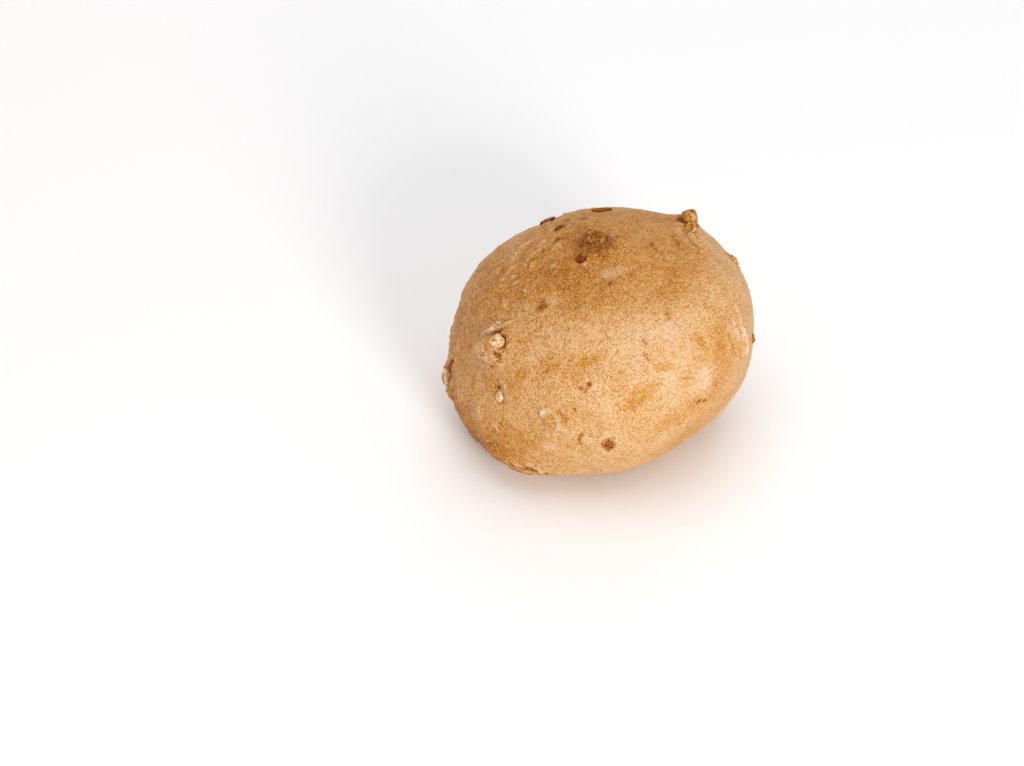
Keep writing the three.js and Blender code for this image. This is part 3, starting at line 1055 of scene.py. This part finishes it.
# %% The crust's noises
BLOTCH_SIZE = 4.5  # mm, as are the four below
MOTTLE_SIZE = 1.3
GRAIN_SIZE = 0.39
PINHOLES_APART = 1.5
PORES_APART = 4.2

baked = Finish("baked_crust")
blotch = baked.noise(BLOTCH_SIZE, 3)
mottle = baked.noise(MOTTLE_SIZE, 3, 0.6)
in_mm = baked.millimetres.outputs["Vector"]
grains = baked.node("ShaderNodeTexVoronoi", Vector=in_mm, Scale=1 / GRAIN_SIZE)
grain_of = baked.node("ShaderNodeSeparateColor", Color=grains.outputs["Color"])
fleck = grain_of.outputs["Red"]
other_fleck = grain_of.outputs["Green"]
pinhole = dots(baked, PINHOLES_APART, 0.08, 0.26, 0.55)
pore = dots(baked, PORES_APART, 0.18, 0.45, 0.5)
print("blotches, mottle, grains, pinholes and pores:", len(baked.nodes), "nodes")

# %% The crust's colour
SPECK = 0.23  # how much browner or paler each of these makes it
MOTTLE = 0.03
BLOTCH = 0.04
# Painted shade in the pinholes.
PINHOLE_SHADE = 0.3

flour_laid = baked.painted("flour")
laid_brown = baked.painted("browning")
lively = baked.ramp(laid_brown, 0.2, 0.55, 0.9, 1.0)  # the browner a part, the stronger its specks
specks = baked.math("ADD", baked.spread(mottle, -MOTTLE, MOTTLE), baked.ramp(fleck, 0, 1, -SPECK, SPECK))
brown = baked.math("ADD", laid_brown, baked.math("MULTIPLY", specks, lively))
brown = baked.math("ADD", brown, baked.spread(blotch, -BLOTCH, BLOTCH))
# Painted shade: the pinholes are browned.
brown = baked.math("ADD", brown, baked.math("MULTIPLY", pinhole, PINHOLE_SHADE))
color = baked.colors(brown, BAKED)
branny = grainy(baked, baked.painted("bran"), (mottle, 0.2), (fleck, 0.3))
color = baked.mix(baked.math("MULTIPLY", branny, 0.6), color, BRAN)
floured = grainy(baked, flour_laid, (blotch, 0.06), (mottle, 0.08), (other_fleck, -0.28))
dusted = baked.math("MULTIPLY", floured, baked.ramp(flour_laid, 0.5, 1, 0.55, 0.95))
color = baked.mix(dusted, color, FLOURED)
# Thick flour and painted highlight on the crests.
color = baked.mix(baked.ramp(flour_laid, 0.8, 1, 0, 0.9), color, THICK_FLOUR_AND_HIGHLIGHT)
color = baked.mix(baked.ramp(other_fleck, 0.7, 1, 0, 0.4), color, TOASTED_GRAIN)
color = baked.mix(baked.ramp(other_fleck, 0, 0.25, 0.3, 0), color, PALE_GRAIN)
# Painted shade: the pores are darkened.
color = baked.mix(baked.math("MULTIPLY", pore, 0.85), color, PORE_SHADE)
baked.feed(baked.shader, "Base Color", color)
print("the crust's colour has", len(baked.nodes), "nodes")

# %% The crust's sheen and fine relief
SHEEN_LEVEL = 0.2  # a dry crust mirrors less than a varnish does
BLOOM = 0.06  # the flour dust on it glows a little where it is seen edge on
BLOOM_ROUGHNESS = 0.4
SATIN = (0.48, 0.66)  # its roughness
RELIEF = 0.8  # mm, for a height of 1

baked.feed(baked.shader, "Roughness", baked.spread(mottle, *SATIN))
baked.feed(baked.shader, "Specular IOR Level", SHEEN_LEVEL)
baked.feed(baked.shader, "Sheen Weight", BLOOM)
baked.feed(baked.shader, "Sheen Roughness", BLOOM_ROUGHNESS)
relief = baked.math("MULTIPLY", mottle, 0.45)
relief = baked.math("SUBTRACT", relief, baked.math("MULTIPLY", grains.outputs["Distance"], 0.25))
relief = baked.math("SUBTRACT", relief, baked.math("MULTIPLY", pinhole, 0.25))
relief = baked.math("SUBTRACT", relief, baked.math("MULTIPLY", pore, 0.2))
baked.bump(relief, RELIEF)
crust_mesh.materials.append(baked.material)
print("the crust's finish has", len(baked.nodes), "nodes")

# %% [markdown]
# ## The kernels' finish
# A kernel's skin is bran, smoother and harder than the crust, and it runs from pale and floury to nearly
# black where it stood out and caramelised. Its tone was painted on with its streaks and its dark crease.
# The flakes are bran too, so they share this finish.

# %% The grain
GRAIN = [
    (0.0, 0.82, 0.60, 0.43),
    (0.3, 0.60, 0.32, 0.12),
    (0.55, 0.43, 0.17, 0.02),
    (0.8, 0.27, 0.07, 0.0),
    (1.0, 0.14, 0.03, 0.0),
]
HUSK_SHEEN = 0.14
HUSK_SATIN = (0.5, 0.7)  # its roughness
HUSK_RELIEF = 0.25  # mm, for a height of 1

grain = Finish("grain")
husk = grain.noise(1.1, 2)
speck = grain.noise(0.4, 2)
tone = grain.math("ADD", grain.painted(TONE), grain.spread(speck, -0.2, 0.2))
tone = grain.math("ADD", tone, grain.spread(husk, -0.12, 0.12))
grain.feed(grain.shader, "Base Color", grain.colors(tone, GRAIN))
grain.feed(grain.shader, "Roughness", grain.spread(speck, *HUSK_SATIN))
grain.feed(grain.shader, "Specular IOR Level", HUSK_SHEEN)
grain.bump(grain.math("ADD", speck, husk), HUSK_RELIEF)
kernels_mesh.materials.append(grain.material)
flakes_mesh.materials.append(grain.material)
print("the grain's finish has", len(grain.nodes), "nodes")

# %% [markdown]
# ## Three pieces on one body
# The roll doesn't bend or open, so all that was made rides on its one body. The crust takes the place of
# the plain CAD roll. The kernels and the flakes are pieces of their own, because they are of another
# stuff.

# %% Show the pieces


def piece(name, mesh):
    """Shows a mesh as a piece of the roll."""
    shown = bpy.data.objects.new(name, mesh)
    bpy.context.collection.objects.link(shown)
    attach(shown, BODY)
    return shown


for face in crust_mesh.polygons:
    face.use_smooth = True
crust_piece = piece("crust", crust_mesh)
piece("kernels", kernels_mesh)
piece("bran_flakes", flakes_mesh)
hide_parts(NODE)
print("three pieces ride on", BODY)
